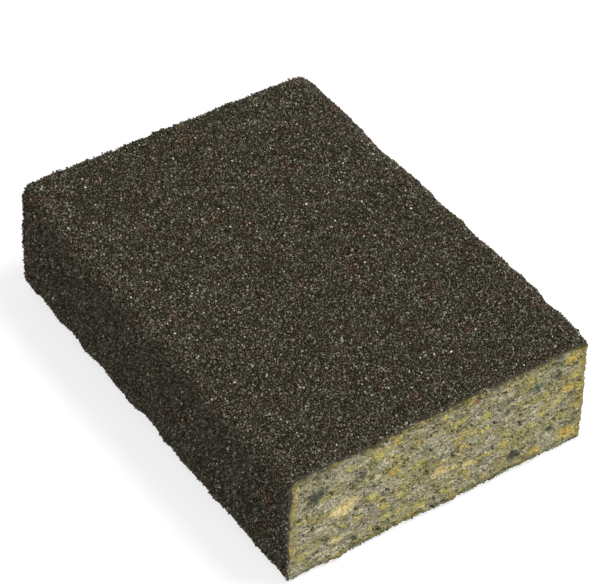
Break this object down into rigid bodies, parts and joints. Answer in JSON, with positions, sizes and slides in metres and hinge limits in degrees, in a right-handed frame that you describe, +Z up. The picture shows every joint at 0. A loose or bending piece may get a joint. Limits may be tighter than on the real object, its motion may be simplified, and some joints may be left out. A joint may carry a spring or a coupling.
{
  "type": "abrasive foam sanding block",
  "caption": "Rectangular hand sanding block of rebonded foam with coarse grit on its two large faces and two long sides, and bare cut ends.",
  "frame": {"origin": "centre of the bottom working face, on the surface that the block lies on", "axes": "+X along the length towards one bare end, +Y across the width, +Z up out of the top working face"},
  "size_m": [0.098, 0.0706, 0.0277],
  "materials": {
    "foam_grey": "open-cell rebonded foam, grey-beige and green, matt and porous",
    "foam_yellow": "open-cell foam, mustard yellow, matt",
    "foam_ochre": "open-cell foam, ochre to orange, matt",
    "foam_cream": "open-cell foam, cream to tan, matt",
    "foam_dark": "open-cell foam, dark green-grey, matt",
    "foam_green": "open-cell foam, dull blue-green, matt",
    "foam_red": "open-cell foam, brick red, matt",
    "resin": "dark brown-black cured resin",
    "grit": "coarse brown, grey and black abrasive grains with a few bright facets"
  },
  "bodies": {
    "root": {"foam_core": "foam_grey", "yellow_foam_chips": "foam_yellow", "ochre_foam_chips": "foam_ochre", "cream_foam_chips": "foam_cream", "dark_foam_chips": "foam_dark", "green_foam_chips": "foam_green", "red_foam_chips": "foam_red", "top_make_coat": "resin", "top_grit_layer": "grit", "bottom_make_coat": "resin", "bottom_grit_layer": "grit", "left_make_coat": "resin", "left_grit_layer": "grit", "right_make_coat": "resin", "right_grit_layer": "grit"}
  },
  "joints": []
}
